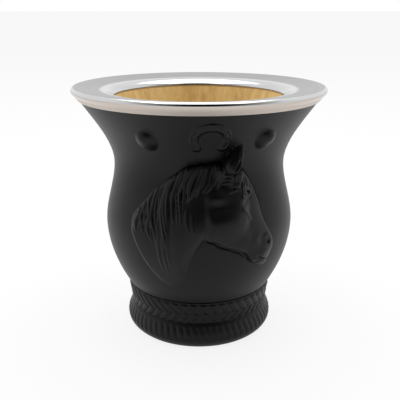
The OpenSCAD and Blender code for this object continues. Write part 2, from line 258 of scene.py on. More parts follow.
def dome(x, v, centre, radius):
    """Half of a ball of height 1."""
    d = np.hypot((x - centre[0]) / radius[0], (v - centre[1]) / radius[1])
    return np.sqrt(np.clip(1 - d * d, 0, 1))


def ridge(x, v, points, width):
    """A soft ridge of height 1 along a line, fading at both ends."""
    gap, t = along_line(x, v, smooth_line(points))
    return np.exp(-((gap / width) ** 2)) * np.clip(4 * t * (1 - t), 0, 1) ** 0.5


def cord(x, v, points, width, root=0.4, tip=0.4):
    """A rounded cord of height 1 along a line, with its widths at both ends as shares of its middle width."""
    line = smooth_line(points)
    low, high = line.min(0) - 2 * width, line.max(0) + 2 * width
    near = (x > low[0]) & (x < high[0]) & (v > low[1]) & (v < high[1])
    height = np.zeros(x.shape)
    gap, t = along_line(x[near], v[near], line)
    share = between(np.where(t < 0.5, root, tip), 1, np.sin(np.pi * t))
    height[near] = np.sqrt(np.clip(1 - (gap / (width * share)) ** 2, 0, 1)) * share
    return height


# Guides of the mane from the ear back to the withers, each from the crest to its tip.
MANE_GUIDES = np.array((
    ((4.4, 18.7), (3.7, 16.2), (2.9, 13.8), (2.2, 11.8), (1.6, 10.4)),
    ((2.2, 18.9), (1.6, 16), (0.8, 13.5), (-0.6, 11.2), (-1.9, 9.8)),
    ((-1.2, 18.9), (-1.9, 16), (-3, 13), (-4.4, 10.2), (-5.4, 8.2)),
    ((-4.5, 18.4), (-5.6, 15), (-6.8, 11), (-7.5, 6), (-7.8, 1.5)),
    ((-7.6, 17.3), (-8.8, 13.5), (-9.6, 9), (-9.9, 3), (-9.6, -3)),
    ((-10.2, 15.1), (-11.8, 11), (-12.8, 6), (-13, 0), (-11.8, -8)),
    ((-12.7, 13), (-14.2, 8.5), (-14.9, 2), (-14.6, -8), (-12.6, -22.5)),
    ((-15, 11), (-16.4, 6.5), (-16.9, 1), (-16.6, -4.5), (-15.8, -10)),
    ((-17.4, 8.6), (-18.6, 5), (-19, 0.5), (-18.8, -4), (-18, -8.5)),
    ((-20, 5.4), (-20.8, 2.5), (-21.1, -0.5), (-21, -3.5), (-20.6, -6.5)),
    ((-22.8, 1.6), (-23.4, -0.2), (-23.7, -2), (-23.7, -4), (-23.4, -6))))
STRANDS_BETWEEN, MANE_SEED = 3, 7
STRAND_STRAY = np.array([[0.3], [0.8], [1], [1.2], [1.5]])
STRAND_REACH, STRAND_HALF, STRAND_TALL = (0.4, 1.3), (0.45, 0.8), (0.4, 0.95)
LONG_STRANDS = (
    ((-12.2, 0), (-12.9, -7), (-12.6, -13), (-11.6, -18)),
    ((-13.8, 2), (-14.3, -6), (-13.9, -14), (-12.5, -22.5)),
    ((-15.6, 0), (-15.9, -7), (-15.4, -14), (-14, -20.5)))
LONG_STRAND_HALF, LONG_STRAND_TALL = 0.55, 0.55


def mane_height(x, v):
    """Height of the mane's strands, blended between the guides with a little seeded variety."""
    draw = np.random.default_rng(MANE_SEED)
    height = np.zeros(x.shape)
    for k in range((len(MANE_GUIDES) - 1) * STRANDS_BETWEEN + 1):
        i = min(k // STRANDS_BETWEEN, len(MANE_GUIDES) - 2)
        line = between(MANE_GUIDES[i], MANE_GUIDES[i + 1], k / STRANDS_BETWEEN - i)
        line = line + draw.uniform(-0.5, 0.5, line.shape) * STRAND_STRAY
        line[4] = line[3] + (line[4] - line[3]) * draw.uniform(*STRAND_REACH)
        strand = cord(x, v, line, draw.uniform(*STRAND_HALF), root=0.8, tip=0.15)
        height = np.maximum(height, draw.uniform(*STRAND_TALL) * strand)
    for line in LONG_STRANDS:
        strand = cord(x, v, line, LONG_STRAND_HALF, root=0.5, tip=0.15)
        height = np.maximum(height, LONG_STRAND_TALL * strand)
    return height


# Faint folds of the skin behind the jaw.
NECK_FOLDS = (
    ((-6.6, 5), (-6.8, 1), (-6.2, -3)),
    ((-4.9, 3.6), (-5.1, 0), (-4.5, -3.6)),
    ((-3.4, 2.2), (-3.5, -1), (-2.9, -4)))
FOLD_TALL, FOLD_HALF = 0.22, 0.5
# How thick the neck is at its crest, how much it gains below it and where it levels off, at poll and withers.
CREST_THICK, CREST_GAIN, NECK_LIMIT = (1.6, 0.7), (0.38, 0.15), (4.5, 2.3)
CREST_EASE, CREST_EASE_X, POLL_TO_WITHERS_X = 0.25, (-6, -10), (-3, -19)
NECK_ROUND, NECK_FOOT_V = 1.6, (-28, -6)
BREAST_SINK, BREAST_ROUND, BREAST_X, BREAST_V = 0.4, 6, (-11, -5), (4, -10)
THROAT_TALL, THROAT_AT, THROAT_RADIUS, THROAT_EDGE = 1.1, (-4.5, -4.5), (4.5, 7), 3
MANE_TALL, MANE_FLAT, MANE_EDGE, MANE_FOOT_V = (1.4, 1.0), 0.2, 0.3, (-27, -19)


def neck_height(x, v, inside):
    """Height of the neck: it leans back to its crest, thins towards the withers and sinks in at the breast."""
    crest_x, crest_v = smooth_line(CREST_LINE)[::-1].T
    below = (np.interp(x, crest_x, crest_v) - v) * (1 - CREST_EASE * fade(x, *CREST_EASE_X))
    back = fade(x, *POLL_TO_WITHERS_X)
    breast = fade(x, *BREAST_X) * fade(v, *BREAST_V)
    thick = between(*CREST_THICK, back) + between(*CREST_GAIN, back) * np.clip(below, 0, None)
    neck = level_off(thick, between(*NECK_LIMIT, back)) * (1 - BREAST_SINK * breast)
    neck *= fade(v, *NECK_FOOT_V) * round_edge(inside, NECK_ROUND + BREAST_ROUND * breast)
    neck += THROAT_TALL * swell(x, v, THROAT_AT, THROAT_RADIUS) * fade(inside, 0, THROAT_EDGE)
    hair = mane_height(x, v)
    haired = fade(inside, -MANE_EDGE, MANE_EDGE) * fade(v, *MANE_FOOT_V)
    neck += haired * between(*MANE_TALL, back) * (hair - np.clip(hair, 0, MANE_FLAT))
    for line in NECK_FOLDS:
        neck += FOLD_TALL * ridge(x, v, line, FOLD_HALF)
    return np.maximum(neck, 0)


# The head's height at the poll, and how much it gains below it.
POLL_V, POLL_TALL, POLL_GAIN = 19, 1.0, 0.36
# The nose's upper end, the direction from its line into the face, its height, and the face's gain behind it.
NOSE_TOP, NOSE_IN = (9.6, 16.8), (-0.896, -0.442)
NOSE_TALL, NOSE_GAIN, NOSE_REACH = 2.2, 0.13, 15
FACE_TALL, FACE_AT, FACE_RADIUS = 1.3, (4, 3), (9, 7)
FACE_BLEND, NAPE_X = 2, (-5.8, 0.2)
# The side of the face, highest below the eye: its height, and its fades behind, ahead, below and above.
SIDE_TALL, SIDE_BACK_X, SIDE_FRONT_X, SIDE_LOW_V, SIDE_HIGH_V = 1.5, (0, 9.4), (13, 9.4), (-7, 5), (15, 8)
# Shares and widths of the head's two rounded edges, a sharp one and a wide one.
SHARP_SHARE, SHARP_ROUND, WIDE_SHARE, WIDE_ROUND = 0.4, 0.4, 0.6, 6
# Middles, heights and radii of temple and cheek. The radii differ left and right, or above and below.
TEMPLE_AT, TEMPLE_TALL, TEMPLE_WIDE, TEMPLE_LOW, TEMPLE_HIGH = (1.8, 8.7), 1.3, 3.6, 2.4, 3.4
CHEEK_AT, CHEEK_TALL, CHEEK_ROUND = (3, 0.2), 1.05, 1.6
CHEEK_LEFT, CHEEK_RIGHT, CHEEK_LOW, CHEEK_HIGH = 6.6, 10, 8, 5.4
# Soft ridges and furrows of the face: height, half width and line.
FACE_RIDGES = (
    (0.45, 0.4, ((9.4, 4.5), (10.6, 3.2), (11.8, 1.6), (12.9, -0.2))),  # facial crest
    (0.45, 0.4, ((9.4, 8.1), (10.4, 9.3), (11.9, 9.9), (13.6, 8.9))),  # upper eyelid
    (0.4, 0.4, ((9.4, 8.1), (10.6, 7.4), (12.2, 7.6), (13.6, 8.9))),  # lower eyelid
    (-0.3, 0.35, ((10.2, 7), (11.8, 6.6), (13.5, 7.1))),  # furrow below the lower eyelid
    (0.4, 0.7, ((17.8, -7.4), (19.4, -6.7), (20.8, -8), (21, -10.4))),  # flared rim of the nostril
    (-0.7, 0.3, ((21.4, -16.4), (19, -16), (17.4, -14.9), (15.2, -13.4))),  # mouth
    (0.3, 0.45, ((19.6, -16.9), (17.6, -16), (15.8, -14.8))))  # lower lip
# Soft rises and hollows of the face: height, middle and radii.
FACE_SWELLS = (
    (-0.25, (9.6, 1.4), (1, 1.8)),  # behind the facial crest
    (-0.35, (13.8, -6), (1.8, 2.2)),  # between cheek and muzzle
    (-0.5, (10.5, 5.9), (1.1, 0.8)),  # below the eye
    (-0.5, (17, -8), (1.7, 2.2)),  # behind the nostril
    (0.3, (18.2, -12.6), (2.2, 1.4)),  # upper lip
    (-0.3, (15.3, -15.6), (0.8, 0.6)),  # behind the chin
    (2.4, (6.8, 15), (2.6, 3)))  # root of the forelock
# Round balls and holes of the face: height, middle and radii.
FACE_DOMES = (
    (-0.7, (11.5, 8.6), (1.7, 0.8)),  # opening between the eyelids
    (0.55, (11.6, 8.5), (0.9, 0.65)),  # eye
    (-0.8, (19.6, -9.4), (0.6, 0.9)))  # nostril
# The forelock's thick lock, and the finer hairs on the brow and below the ear: height, half width and line.
LOCK_LINE, LOCK_HALF, LOCK_TALL = ((8.9, 17.2), (8.5, 14.4), (7.8, 11.8)), 1.3, 1.7
LOCK_BASE_V, LOCK_BASE, LOCK_LEAN = 12, 3.6, 0.08
LOCK_HOLLOW, LOCK_HOLLOW_AT, LOCK_HOLLOW_RADIUS = 0.8, (8, 13.2), (0.6, 1.1)
BROW_HAIRS = (
    (0.45, 0.4, ((10.4, 15.6), (10.3, 12.6), (10, 9.2))),
    (0.35, 0.4, ((11, 15), (11.1, 12.6), (11, 10.2))),
    (0.3, 0.4, ((11.4, 14.4), (12.3, 12), (12.5, 10.3))),
    (0.4, 0.45, ((6.4, 14), (5.2, 14.1), (3.8, 13.8))),
    (0.35, 0.45, ((6.4, 12.7), (5.2, 12.9), (3.8, 12.5))),
    (0.4, 0.5, ((8, 10), (6.6, 10.2), (5, 9.6))))


def head_height(x, v, inside):
    """Height of the head: it leans back above the temple, and its face stands out more away from the nose."""
    from_nose = NOSE_IN[0] * (x - NOSE_TOP[0]) + NOSE_IN[1] * (v - NOSE_TOP[1])
    lean = POLL_TALL + POLL_GAIN * np.clip(POLL_V - v, 0, None)
    face = NOSE_TALL + NOSE_GAIN * np.clip(from_nose, 0, NOSE_REACH)
    face += FACE_TALL * swell(x, v, FACE_AT, FACE_RADIUS)
    edge = SHARP_SHARE * round_edge(inside, SHARP_ROUND) + WIDE_SHARE * round_edge(inside, WIDE_ROUND)
    head = -smooth_max(-lean, -face, FACE_BLEND)
    head *= edge * fade(x, *NAPE_X)
    head += (SIDE_TALL * fade(x, *SIDE_BACK_X) * fade(x, *SIDE_FRONT_X)
             * fade(v, *SIDE_LOW_V) * fade(v, *SIDE_HIGH_V))
    temple_radius = (TEMPLE_WIDE, np.where(v < TEMPLE_AT[1], TEMPLE_LOW, TEMPLE_HIGH))
    head += TEMPLE_TALL * swell(x, v, TEMPLE_AT, temple_radius)
    cheek_x = (x - CHEEK_AT[0]) / np.where(x < CHEEK_AT[0], CHEEK_LEFT, CHEEK_RIGHT)
    cheek_v = (v - CHEEK_AT[1]) / np.where(v > CHEEK_AT[1], CHEEK_HIGH, CHEEK_LOW)
    off_cheek = np.clip(np.hypot(cheek_x, cheek_v), 0, 1)
    head += CHEEK_TALL * (1 - off_cheek**2) ** CHEEK_ROUND
    for tall, width, line in FACE_RIDGES:
        head += tall * ridge(x, v, line, width)
    for tall, centre, radius in FACE_SWELLS:
        head += tall * swell(x, v, centre, radius)
    for tall, centre, radius in FACE_DOMES:
        head += tall * dome(x, v, centre, radius)
    # The forelock falls from between the ears over the brow, with a hollow in its thick lock
    lock = cord(x, v, LOCK_LINE, LOCK_HALF, root=0.6, tip=1)
    lock_top = LOCK_BASE + LOCK_LEAN * (v - LOCK_BASE_V) + LOCK_TALL * lock
    head = np.where(lock > 0, np.maximum(head, lock_top), head)
    head -= LOCK_HOLLOW * swell(x, v, LOCK_HOLLOW_AT, LOCK_HOLLOW_RADIUS)
    for tall, width, line in BROW_HAIRS:
        head += tall * cord(x, v, line, width)
    return np.where(inside > 0, np.maximum(head, 0), 0)


# The ear, by height: how far it stands out, and its back and front edges.
EAR_LEAN = ((14, 6.2), (16, 6.7), (18, 6.6), (20, 5.3), (22, 3.5), (24, 1.6), (26, 0.1), (28, 0))
EAR_BACK = ((14, 4), (17, 3.9), (19, 4.1), (20.5, 4.8), (22, 5.9), (23.5, 7.2), (25, 8.7), (26.4, 10.3),
            (28, 12))
EAR_EDGE = ((14, 7.7), (16, 8.1), (18, 8.8), (20, 9.7), (22, 10.6), (24, 11.2), (25.4, 11.1), (26.4, 10.3),
            (28, 8.7))
EAR_TOP_V, EAR_BACK_ROUND, EAR_EDGE_ROUND = 27.5, 2.4, 1.2
EAR_FOOT_V, EAR_FOOT_X, EAR_FOOT_RISE, EAR_FOOT_BLEND = 12.6, 4.5, 0.3, 4
EAR_HAIRS = (
    ((8.4, 21.4), (6.6, 18.6), (4.4, 15.6)),
    ((9, 20), (7.5, 17.8), (5.6, 15.2)),
    ((8.7, 18), (7.9, 16.8), (6.9, 15.2)))
EAR_HAIR_TALL, EAR_HAIR_HALF = 0.4, 0.55
EAR_FURROWS = (
    ((7.7, 22), (5.9, 19.4), (4.2, 16.6)),
    ((8.7, 20.8), (7, 18.2), (5, 15.4)),
    ((8.9, 19), (7.7, 17.3), (6.3, 15.2)))
EAR_FURROW_DEEP, EAR_FURROW_HALF = 0.45, 0.4


def ear_height(x, v):
    """Height of the ear, soft behind and with a sharp front edge, and the places that are on it."""
    ear = np.interp(v, *smooth_line(EAR_LEAN).T)
    for line in EAR_HAIRS:
        ear += EAR_HAIR_TALL * cord(x, v, line, EAR_HAIR_HALF)
    for line in EAR_FURROWS:
        ear -= EAR_FURROW_DEEP * ridge(x, v, line, EAR_FURROW_HALF)
    behind = x - np.interp(v, *smooth_line(EAR_BACK).T)
    ahead = np.interp(v, *smooth_line(EAR_EDGE).T) - x
    above = v - EAR_FOOT_V - EAR_FOOT_RISE * np.clip(x - EAR_FOOT_X, 0, 10)
    ear *= round_edge(behind, EAR_BACK_ROUND) * round_edge(ahead, EAR_EDGE_ROUND)
    ear *= fade(above, 0, EAR_FOOT_BLEND)
    return ear, (behind > 0) & (ahead > 0) & (above > 0) & (v < EAR_TOP_V)


# How softly head and neck, and ear and head, run into each other, and where the ear is free of the head.
HEAD_BLEND, EAR_BLEND, EAR_FREE_V = 1.4, 0.6, 19.3
EAR_ROOT_AT, EAR_ROOT_RADIUS = (4, 16.8), (2, 2)
# The line cut into the wall along the head: its depth, its distance from the edge and its half width, what
# brow and jaw add to them, and where these lie.
CUT_DEEP, CUT_DEEP_BROW, CUT_DEEP_JAW = 0.08, 0.22, 0.32
CUT_OFF, CUT_OFF_JAW, CUT_HALF, CUT_HALF_JAW = 0.3, 0.45, 0.35, 0.15
BROW_V, JAW_V, JAW_FRONT_X, JAW_BACK_X = (1, 8), (-2, -5), (13.5, 10.5), (-3, 4)


def horse_height(x, z):
    """Height of the horse above the wall, in millimetres, at places seen from the front."""
    v = z - HORSE_Z
    neck_in = depth_inside(x, v, NECK_OUTLINE)
    head_in = depth_inside(x, v, HEAD_OUTLINE)
    neck = neck_height(x, v, neck_in)
    head = head_height(x, v, head_in)
    ear, on_ear = ear_height(x, v)
    body = smooth_max(neck, head, HEAD_BLEND * soft_step(np.minimum(neck, head)) + 1e-6)
    body += swell(x, v, EAR_ROOT_AT, EAR_ROOT_RADIUS) * soft_step(body)
    body = np.where(on_ear, np.where(v > EAR_FREE_V, ear, smooth_max(body, ear, EAR_BLEND)), body)
    # A fine line is cut into the wall along the brow, and a wider one under the jaw
    brow = fade(v, *BROW_V)
    jaw = fade(v, *JAW_V) * fade(x, *JAW_FRONT_X) * fade(x, *JAW_BACK_X)
    off_line = (head_in + CUT_OFF + CUT_OFF_JAW * jaw) / (CUT_HALF + CUT_HALF_JAW * jaw)
    deep = CUT_DEEP + CUT_DEEP_BROW * brow + CUT_DEEP_JAW * jaw
    cut = deep * np.exp(-(off_line**2)) * (neck_in < 0) * ~on_ear
    return np.where(head_in > 0, body, body - cut)


# The horseshoe's middle line from heel to heel, its groove as that line drawn larger, and its nails along it.
SHOE_LINE = ((-4.2, 76.6), (-4.9, 78.1), (-5.1, 80.1), (-4.2, 82.3), (-2, 83.6), (0.3, 83.9),
             (2.6, 83.6), (4.6, 82.3), (5.3, 80.1), (4.9, 78.1), (4, 76.7))
SHOE_MIDDLE, SHOE_HALF_BAR, SHOE_EDGE, SHOE_TALL = np.array((0.1, 79.2)), 1.45, 0.3625, 0.75
SHOE_GROOVE_SCALE, SHOE_GROOVE_HALF, SHOE_GROOVE_DEEP = 1.1, 0.25, (0.4, 0.06)
SHOE_TOE_Z, SHOE_TOE_FALL, SHOE_TOE_ACROSS = (80.5, 83.5), 0.3, (-1.2, 1.2)
SHOE_NAILS, NAIL_DEEP, NAIL_SPREAD = (0.17, 0.28, 0.39, 0.61, 0.72, 0.83), 0.35, 0.1
HEEL_TALL, HEEL_DROP, HEEL_RADIUS = 1.0, 0.4, (1.5, 0.75)


def horseshoe_height(x, z):
    """Height of the horseshoe: a bar with a groove, nail holes and turned heels."""
    line = smooth_line(SHOE_LINE)
    gap, share = along_line(x, z, line)
    bar = fade(gap, SHOE_HALF_BAR, SHOE_HALF_BAR - SHOE_EDGE)
    # At the toe its outer edge is lower than its inner edge, and the groove is shallow
    toe = fade(z, *SHOE_TOE_Z)
    reach = np.interp(share, np.linspace(0, 1, len(line)), np.hypot(*(line - SHOE_MIDDLE).T))
    outward = np.hypot(x - SHOE_MIDDLE[0], z - SHOE_MIDDLE[1]) - reach
    tall = SHOE_TALL * (1 - SHOE_TOE_FALL * toe * fade(outward, *SHOE_TOE_ACROSS))
    off_groove, _ = along_line(x, z, SHOE_MIDDLE + SHOE_GROOVE_SCALE * (line - SHOE_MIDDLE))
    tall -= between(*SHOE_GROOVE_DEEP, toe) * np.exp(-((off_groove / SHOE_GROOVE_HALF) ** 2))
    height = bar * tall
    for nail in SHOE_NAILS:
        px, pz = line[int(nail * (len(line) - 1))]
        height -= bar * NAIL_DEEP * np.exp(-((x - px) ** 2 + (z - pz) ** 2) / NAIL_SPREAD)
    for px, pz in (SHOE_LINE[0], SHOE_LINE[-1]):
        height = np.maximum(height, HEEL_TALL * dome(x, z, (px, pz - HEEL_DROP), HEEL_RADIUS))
    return height


# The bosses' places in degrees round the cup from its front.
BOSS_PLACES, BOSS_Z, BOSS_R, BOSS_TALL = (-33.1, 31.1), 78.1, 4.1, 2.4
BOSS_FLATTEN, BOSS_ROUND = 1.15, 1.1


def boss_height(angle, z):
    """Height of the two domed buttons beside the horseshoe."""
    height = np.zeros(z.shape)
    for place in BOSS_PLACES:
        across = np.radians(angle - place) * shell_radius(BOSS_Z)
        gap = np.hypot(across, (z - BOSS_Z) * BOSS_FLATTEN) / BOSS_R
        height += BOSS_TALL * np.clip(1 - gap * gap, 0, 1) ** BOSS_ROUND
    return height


# The rope ring's ribs with the heights where they fade, the braid's strands, and the furrow between the two.
ROPE_RIBS, ROPE_LEAN, ROPE_DEPTH = 66, math.radians(14), 0.42
ROPE_LOW_Z, ROPE_TOP_Z = (2.8, 4.8), (9.0, 8.0)
BRAID_STRANDS, BRAID_LEAN, BRAID_DEPTH, BRAID_PROUD = 48, math.radians(40), 0.65, 0.1
BRAID_LOW_Z, BRAID_TOP_Z, BRAID_BLEND, BRAID_ROOT, BRAID_TIP = 9.6, 17.9, 0.3, (-0.3, 0.2), 0.8
FURROW_Z, FURROW_HALF, FURROW_DEEP = 9.3, 0.5, 0.15


def foot_height(angle, z):
    """Height of the rope ring's ribs, the furrow above them and the two rows of the braid."""
    turn = np.radians(angle) / math.tau
    lean = math.tan(ROPE_LEAN) / (math.tau * RING_R)
    across = 2 * np.abs((turn + (z - RING_Z) * lean) * ROPE_RIBS % 1 - 0.5)
    rib = np.sqrt(np.clip(1 - across**2, 0, 1)) - 1
    height = ROPE_DEPTH * rib * fade(z, *ROPE_LOW_Z) * fade(z, *ROPE_TOP_Z)
    height -= FURROW_DEEP * np.exp(-(((z - FURROW_Z) / FURROW_HALF) ** 2))
    middle = (BRAID_LOW_Z + BRAID_TOP_Z) / 2
    half = (BRAID_TOP_Z - BRAID_LOW_Z) / 2
    shear = math.tan(BRAID_LEAN) / (math.tau * WAIST_R)
    braid = np.full(z.shape, -BRAID_DEPTH)
    for row in (-1, 1):
        up = (z - middle) * row
        phase = (turn + up * shear + (row - 1) / (4 * BRAID_STRANDS)) * BRAID_STRANDS % 1
        strand = np.sqrt(np.clip(1 - np.abs(2 * phase - 1) ** 2, 0, 1))
        ends = fade(up, *BRAID_ROOT) * fade(up, half, half - BRAID_TIP)
        braid = np.maximum(braid, BRAID_DEPTH * (strand * ends - 1) + BRAID_PROUD)
    on_band = (fade(z, BRAID_LOW_Z - BRAID_BLEND, BRAID_LOW_Z + BRAID_BLEND)
               * fade(z, BRAID_TOP_Z + BRAID_BLEND, BRAID_TOP_Z - BRAID_BLEND))
    return between(height, braid, on_band)


# The wall's front that carries the reliefs, and how finely it is cut: round each relief with a margin, with a
# wider one under the jaw, and in a box round the ear. The foot is cut all round.
FRONT_LOW_Z, FRONT_TOP_Z, FRONT_HALF_ANGLE, WALL_BAND = 22, SKIRT_Z - 0.8, 62, 1
RELIEF_CUTS, RELIEF_MARGIN, JAW_MARGIN, JAW_TOP_V = 6, 1.3, 3.12, -4
EAR_BOX_X, EAR_BOX_V, BOSS_WALL_R = (2.5, 12), (14, 28), 37
FOOT_EDGE_Z, FOOT_LOW_Z, FOOT_TOP_Z, FOOT_CUTS = 0.25, 0.6, 18.7, 3


def near_relief(middle):
    """Faces of the front that carry the horse, the horseshoe or a boss, with a small margin."""
    x, y, z = middle.T
    angle = np.degrees(np.arctan2(x, -y))
    on_wall = np.hypot(x, y) > shell_radius(np.clip(z, 0, SKIRT_Z)) - WALL_BAND
    front = on_wall & (np.abs(angle) < FRONT_HALF_ANGLE) & (z > FRONT_LOW_Z) & (z < FRONT_TOP_Z)
    v = z - HORSE_Z
    head_in = depth_inside(x, v, HEAD_OUTLINE)
    near = (head_in > -RELIEF_MARGIN) | (depth_inside(x, v, NECK_OUTLINE) > -RELIEF_MARGIN)
    near |= (head_in > -JAW_MARGIN) & (v < JAW_TOP_V)
    near |= (x > EAR_BOX_X[0]) & (x < EAR_BOX_X[1]) & (v > EAR_BOX_V[0]) & (v < EAR_BOX_V[1])
    gap, _ = along_line(x, z, smooth_line(SHOE_LINE))
    near |= gap < SHOE_HALF_BAR + RELIEF_MARGIN
    for place in BOSS_PLACES:
        near |= np.hypot(np.radians(angle - place) * BOSS_WALL_R, z - BOSS_Z) < BOSS_R + RELIEF_MARGIN
    return front & near


def on_foot(middle):
    """Faces of the foot's outside that carry the rope ring and the braid."""
    x, y, z = middle.T
    return (np.hypot(x, y) > STAND_R - 0.2) & (z > FOOT_LOW_Z) & (z < FOOT_TOP_Z)


cut_finer(shell, near_relief, RELIEF_CUTS)
cut_finer(shell, on_foot, FOOT_CUTS)
flat = np.empty(len(shell.data.vertices) * 3)
shell.data.vertices.foreach_get("co", flat)
points = flat.reshape(-1, 3) / MM
x, y, z = points.T
radius = np.hypot(x, y)
wall = shell_radius(np.clip(z, 0, SKIRT_Z))
outside = (z > FOOT_EDGE_Z) & (z < SKIRT_Z) & (radius > wall - WALL_BAND)
angle = np.degrees(np.arctan2(x, -y))
front = outside & (np.abs(angle) < FRONT_HALF_ANGLE + 2) & (z > FRONT_LOW_Z)
front_x = wall * np.sin(np.radians(angle))
horse = horse_height(front_x[front], z[front])
shoe = horseshoe_height(front_x[front], z[front])
boss = boss_height(angle[front], z[front])
relief = np.zeros(len(z))
relief[front] = np.maximum.reduce((horse, shoe, boss)) + np.minimum(horse, 0)
foot = outside & (z < FOOT_TOP_Z + 0.2)
relief[foot] = foot_height(angle[foot], z[foot])
grow = np.where(outside, (wall + relief) / np.maximum(radius, 1e-9), 1)
points[:, :2] *= grow[:, None]
shell.data.vertices.foreach_set("co", (points * MM).ravel())
shell.data.update()
bpy.ops.object.select_all(action="DESELECT")
shell.select_set(True)
bpy.context.view_layer.objects.active = shell
bpy.ops.object.shade_smooth_by_angle(angle=math.radians(60))


def new_material(name):
    """A new material with its node tree and its shader."""
    material = bpy.data.materials.new(name)
    material.use_nodes = True
    return material, material.node_tree, material.node_tree.nodes["Principled BSDF"]


def paint(piece, material):
    piece.data.materials.clear()
    piece.data.materials.append(material)


def feed(tree, value, socket):
    """Feeds a socket from another socket, or sets it to a plain value."""
    if isinstance(value, bpy.types.NodeSocket):
        tree.links.new(value, socket)
    else:
        socket.default_value = value


def add_node(tree, kind, values, **settings):
    """Adds a shader node with its settings, and feeds its inputs by name or number."""
    node = tree.nodes.new("ShaderNode" + kind)
    for key, value in settings.items():
        setattr(node, key, value)
    for key, value in values.items():
        feed(tree, value, node.inputs[key])
    return node


def own_place(tree):
    """The piece's own coordinates."""
    return add_node(tree, "TexCoord", {}).outputs["Object"]


def noise(tree, place, scale, detail, roughness=0.5):
    values = {"Vector": place, "Scale": scale, "Detail": detail, "Roughness": roughness}
    return add_node(tree, "TexNoise", values).outputs["Fac"]


def maths(tree, operation, *values):
    """The result of a Math node on sockets or plain numbers."""
    return add_node(tree, "Math", dict(enumerate(values)), operation=operation).outputs["Value"]


def mapped(tree, value, start, end, low=0, high=1, curve="LINEAR"):
    """A value mapped from start and end to low and high, and held beyond them."""
    values = {"Value": value, "From Min": start, "From Max": end, "To Min": low, "To Max": high}
    return add_node(tree, "MapRange", values, interpolation_type=curve).outputs["Result"]


def mixed(tree, share, a, b):
    """Colour a turned into colour b by a share."""
    return add_node(tree, "Mix", {"Factor": share, "A": a, "B": b}, data_type="RGBA").outputs["Result"]


def ramp(tree, value, *stops):
    """Colours of a value between 0 and 1."""
    node = add_node(tree, "ValToRGB", {"Fac": value})
    while len(node.color_ramp.elements) < len(stops):
        node.color_ramp.elements.new(0.5)
    for element, (place, colour) in zip(node.color_ramp.elements, stops):
        element.position = place
        element.color = (*colour, 1)
    return node.outputs["Color"]


def add_bump(tree, shader, height, strength, distance):
    """Gives a shader a fine bump, its distance in millimetres."""
    bump = add_node(tree, "Bump", {"Height": height, "Strength": strength, "Distance": distance * MM})
    feed(tree, bump.outputs["Normal"], shader.inputs["Normal"])


def new_group(name, inputs, outputs):
    """A node group on a place and some values: its tree, what it takes in and what it gives out."""
    tree = bpy.data.node_groups.new(name, "ShaderNodeTree")
    tree.interface.new_socket("Vector", in_out="INPUT", socket_type="NodeSocketVector")
    for socket in inputs:
        tree.interface.new_socket(socket, in_out="INPUT", socket_type="NodeSocketFloat")
    for socket in outputs:
        tree.interface.new_socket(socket, in_out="OUTPUT", socket_type="NodeSocketFloat")
    return tree, tree.nodes.new("NodeGroupInput").outputs, tree.nodes.new("NodeGroupOutput").inputs


# Moulding grain: a mask of fine specks and a slow drift, shared by the plastics and the rubber.
grain, taken, given = new_group("moulding_grain", ("Scale",), ("Specks", "Drift"))
feed(grain, noise(grain, taken["Vector"], taken["Scale"], detail=2), given["Specks"])
feed(grain, noise(grain, taken["Vector"], scale=60, detail=3), given["Drift"])


def grained(tree, scale):
    """Places the moulding grain in a material."""
    return add_node(tree, "Group", {"Vector": own_place(tree), "Scale": scale}, node_tree=grain).outputs


def moulded_plastic(name, dark, light, sheen, grain_scale):
    """Matt moulded plastic: two near blacks that drift into each other, uneven sheen and fine grain."""
    material, tree, shader = new_material(name)
    shader.inputs["Specular IOR Level"].default_value = 0.24
    skin = grained(tree, grain_scale)
    feed(tree, ramp(tree, skin["Drift"], (0.35, dark), (0.65, light)), shader.inputs["Base Color"])
    feed(tree, mapped(tree, skin["Drift"], 0, 1, *sheen), shader.inputs["Roughness"])
    add_bump(tree, shader, skin["Specks"], strength=0.12, distance=0.05)
    return material


SHELL_DARK, SHELL_LIGHT, SHELL_SHEEN = (0.0006, 0.0006, 0.0006), (0.0014, 0.0014, 0.0014), (0.37, 0.44)
black_plastic = moulded_plastic("matt_black_plastic", SHELL_DARK, SHELL_LIGHT, SHELL_SHEEN, grain_scale=2600)
# The rope ring's shoulder is painted a little greyer, a painted highlight, between two fades by height in
# millimetres
PAINTED_SHEEN_GREY, PAINTED_SHEEN_LOW, PAINTED_SHEEN_TOP = (0.0075, 0.0075, 0.0075, 1), (4.4, 6.4), (9.6, 8.6)
tree = black_plastic.node_tree
base_colour = tree.nodes["Principled BSDF"].inputs["Base Color"]
level = add_node(tree, "SeparateXYZ", {"Vector": own_place(tree)}).outputs["Z"]
painted_sheen = maths(tree, "MULTIPLY", *(mapped(tree, level, start * MM, end * MM, curve="SMOOTHSTEP")
                                   for start, end in (PAINTED_SHEEN_LOW, PAINTED_SHEEN_TOP)))
# Painted highlight: the shoulder's colour is mixed towards a lighter grey
feed(tree, mixed(tree, painted_sheen, base_colour.links[0].from_socket, PAINTED_SHEEN_GREY), base_colour)
paint(shell, black_plastic)
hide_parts("outer_shell")
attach(shell, "root")

